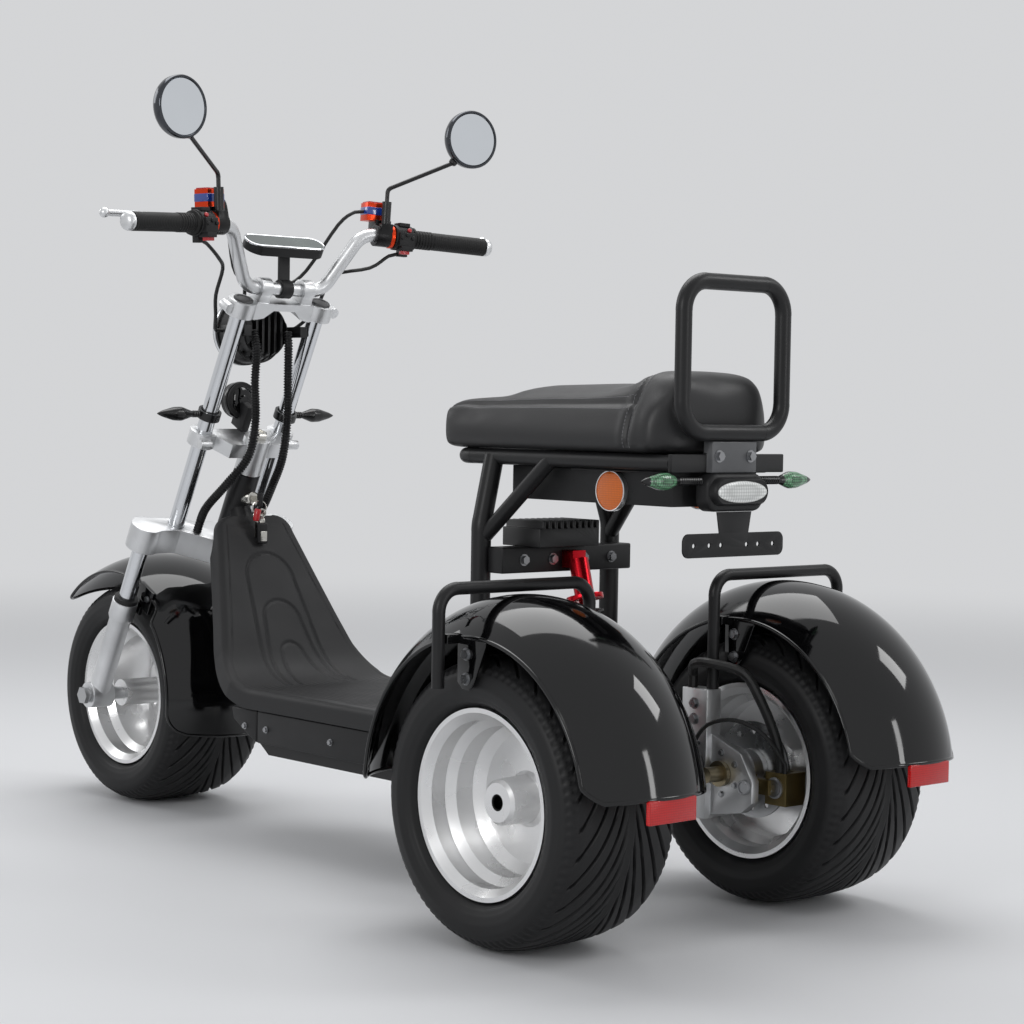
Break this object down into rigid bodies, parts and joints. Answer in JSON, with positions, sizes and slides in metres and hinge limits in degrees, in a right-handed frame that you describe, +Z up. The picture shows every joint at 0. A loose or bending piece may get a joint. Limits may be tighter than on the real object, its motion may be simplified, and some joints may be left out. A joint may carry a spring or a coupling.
{
  "type": "three-wheeled electric scooter",
  "caption": "Step-through electric scooter with a raked steered front fork, a low footboard, a bench seat with a backrest hoop and wide low tyres on paired rear wheels.",
  "frame": {"origin": "on the floor below the middle of the whole length and width", "axes": "+X forward, +Y to the rider's left, +Z up"},
  "size_m": [1.9371, 0.8874, 1.3578],
  "materials": {
    "satin_black": "satin powder coat",
    "battery_case": "matte",
    "mat_rubber": "moulded matte",
    "matte_plastic": "fine texture",
    "cast_black": "satin",
    "seat_leather": "grained",
    "tail_plate": "satin",
    "tail_housing": "moulded",
    "indicator_shell": "moulded",
    "amber_reflector": "prismatic",
    "shock_red": "anodised",
    "cast_alloy": "satin cast",
    "axle_steel": "turned",
    "caliper_brass": "zinc plated",
    "gloss_black": "high gloss",
    "red_reflector": "prismatic",
    "polished_alloy": "brushed",
    "chrome_tube": "polished",
    "seal_rubber": "matte",
    "hose_rubber": "smooth",
    "loom_plastic": "corrugated",
    "grip_rubber": "ribbed",
    "anodised_orange": "anodised",
    "mirror_stem": "dark chrome",
    "mirror_glass": "silvered",
    "display_shell": "moulded",
    "rim_alloy": "polished",
    "tyre": "moulded",
    "disc_steel": "ground"
  },
  "bodies": {
    "frame": {"chassis": "satin_black", "deck_pan": "satin_black", "battery_block": "battery_case", "floor_mat": "mat_rubber", "side_panels": "matte_plastic", "seat_frame": "satin_black", "cross_beam": "satin_black", "motor_controller": "cast_black", "under_seat_tray": "matte_plastic", "seat_cushion": "seat_leather", "backrest_hoop": "satin_black", "tail_bracket": "tail_plate", "tail_lamp": "tail_housing", "rear_indicators": "indicator_shell", "plate_bracket": "satin_black", "side_reflectors": "amber_reflector", "rear_shock": "shock_red", "shock_spring": "satin_black", "rear_hoses": "hose_rubber", "swingarm": "satin_black", "axle_carriers": "cast_alloy", "rear_axles": "axle_steel", "brake_calipers": "caliper_brass", "rear_fenders": "gloss_black", "guard_hoops": "satin_black", "rear_reflectors": "red_reflector"},
    "steering": {"lower_yoke": "cast_alloy", "middle_clamp": "cast_alloy", "top_clamp": "polished_alloy", "upper_fork_tubes": "chrome_tube", "fork_stanchions": "chrome_tube", "fork_seals": "seal_rubber", "fork_sliders": "cast_alloy", "front_axle": "axle_steel", "front_fender": "gloss_black", "handlebar": "polished_alloy", "grips": "grip_rubber", "switch_pods": "matte_plastic", "master_cylinders": "anodised_orange", "brake_levers": "polished_alloy", "mirror_stems": "mirror_stem", "mirror_heads": "mirror_glass", "display": "display_shell", "headlamp": "cast_black", "horn": "matte_plastic", "front_indicators": "indicator_shell", "wiring_looms": "loom_plastic", "control_cables": "hose_rubber"},
    "front_wheel": {"front_rim": "rim_alloy", "front_tyre": "tyre"},
    "rear_left_wheel": {"rear_left_rim": "rim_alloy", "rear_left_tyre": "tyre", "rear_left_disc": "disc_steel"},
    "rear_right_wheel": {"rear_right_rim": "rim_alloy", "rear_right_tyre": "tyre", "rear_right_disc": "disc_steel"}
  },
  "joints": [
    {"name": "steering", "type": "hinge", "parent": "frame", "child": "steering", "pos_m": [0.50038, 0, 0.59971], "axis": [-0.454, 0, 0.891], "range_deg": [-38, 38]},
    {"name": "front_wheel_spin", "type": "hinge", "parent": "steering", "child": "front_wheel", "pos_m": [0.7515, 0, 0.217], "axis": [0, 1, 0], "continuous": true},
    {"name": "rear_left_wheel_spin", "type": "hinge", "parent": "frame", "child": "rear_left_wheel", "pos_m": [-0.6685, 0.28, 0.217], "axis": [0, 1, 0], "continuous": true},
    {"name": "rear_right_wheel_spin", "type": "hinge", "parent": "frame", "child": "rear_right_wheel", "pos_m": [-0.6685, -0.28, 0.217], "axis": [0, 1, 0], "continuous": true}
  ]
}
